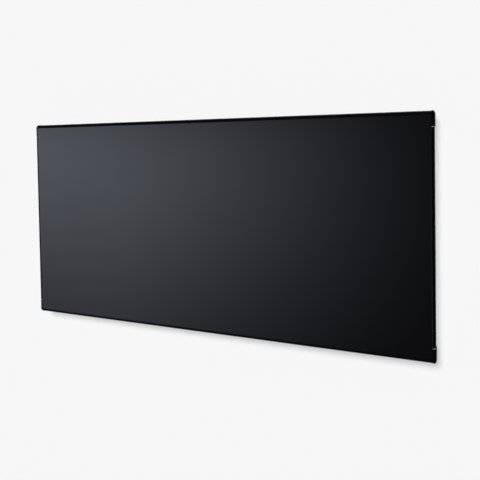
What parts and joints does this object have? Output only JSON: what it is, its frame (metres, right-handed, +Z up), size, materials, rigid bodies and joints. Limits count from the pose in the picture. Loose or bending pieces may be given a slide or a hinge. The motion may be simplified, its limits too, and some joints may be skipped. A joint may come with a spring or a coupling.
{
  "type": "infrared panel heater",
  "caption": "Flat wall-hung infrared heating panel: satin black front with rolled edges, moulded end caps, ribbed rear cover, hooked wall brackets that it lifts off.",
  "frame": {"origin": "centre of the four wall-screw holes, on the wall plane", "axes": "+X along the panel to its right-hand end, +Y into the wall, +Z up; the radiating front faces -Y"},
  "size_m": [1.2, 0.048, 0.6],
  "materials": {
    "front_enamel": "satin black enamel",
    "frame_coat": "satin black powder coat over an aluminium extrusion",
    "bracket_coat": "fine-texture black powder coat",
    "cap_plastic": "fine-textured black moulding",
    "bare_aluminium": "bare, as cast",
    "galvanised": "galvanised sheet with a faint spangle",
    "zinc_screw": "bright zinc plate",
    "rivet_aluminium": "smooth",
    "film": "amber film",
    "element_foil": "etched resistance foil",
    "reflector": "bright foil",
    "wool": "pressed mineral fibre",
    "brass": "plain",
    "phenolic": "brown-black moulding",
    "box_plastic": "fine-textured black moulding",
    "block_plastic": "natural white moulding",
    "rubber": "matt black",
    "brown_insulation": "smooth brown sleeve",
    "blue_insulation": "smooth blue sleeve",
    "earth_insulation": "smooth green sleeve, yellow striped"
  },
  "bodies": {
    "wall_mount": {"wall_bracket_left": "bracket_coat", "wall_bracket_right": "bracket_coat", "hook_pads": "rubber"},
    "panel": {"front_panel": "front_enamel", "top_rail": "frame_coat", "bottom_rail": "frame_coat", "side_profile_left": "frame_coat", "side_profile_right": "frame_coat", "end_cap_top_left": "cap_plastic", "end_cap_top_right": "cap_plastic", "end_cap_bottom_left": "cap_plastic", "end_cap_bottom_right": "cap_plastic", "corner_key_top_left": "bare_aluminium", "corner_key_top_right": "bare_aluminium", "corner_key_bottom_left": "bare_aluminium", "corner_key_bottom_right": "bare_aluminium", "cap_screws": "zinc_screw", "front_insulating_film": "film", "heating_element": "element_foil", "rear_insulating_film": "film", "reflector_foil": "reflector", "insulation_board": "wool", "element_terminals": "brass", "overheat_cutout": "phenolic", "cutout_flange": "bare_aluminium", "rear_cover": "galvanised", "cover_screws": "zinc_screw", "hanger_rail_upper": "galvanised", "hanger_rail_lower": "galvanised", "hanger_rivets": "rivet_aluminium", "junction_box": "box_plastic", "junction_lid": "box_plastic", "lid_seal": "rubber", "lid_screws": "zinc_screw", "box_screws": "zinc_screw", "lead_grommet": "rubber", "terminal_block": "block_plastic", "terminal_barrels": "brass", "terminal_screws": "zinc_screw", "earth_stud": "zinc_screw", "earth_nuts": "zinc_screw", "live_lead": "brown_insulation", "link_lead": "brown_insulation", "neutral_lead": "blue_insulation", "earth_lead": "earth_insulation", "lead_clips": "block_plastic", "gland_body": "box_plastic", "gland_nut": "box_plastic", "gland_seal": "rubber"}
  },
  "joints": [
    {"name": "panel_lift", "type": "slide", "parent": "wall_mount", "child": "panel", "axis": [0, 0, 1], "range_m": [0, 0.014]}
  ]
}
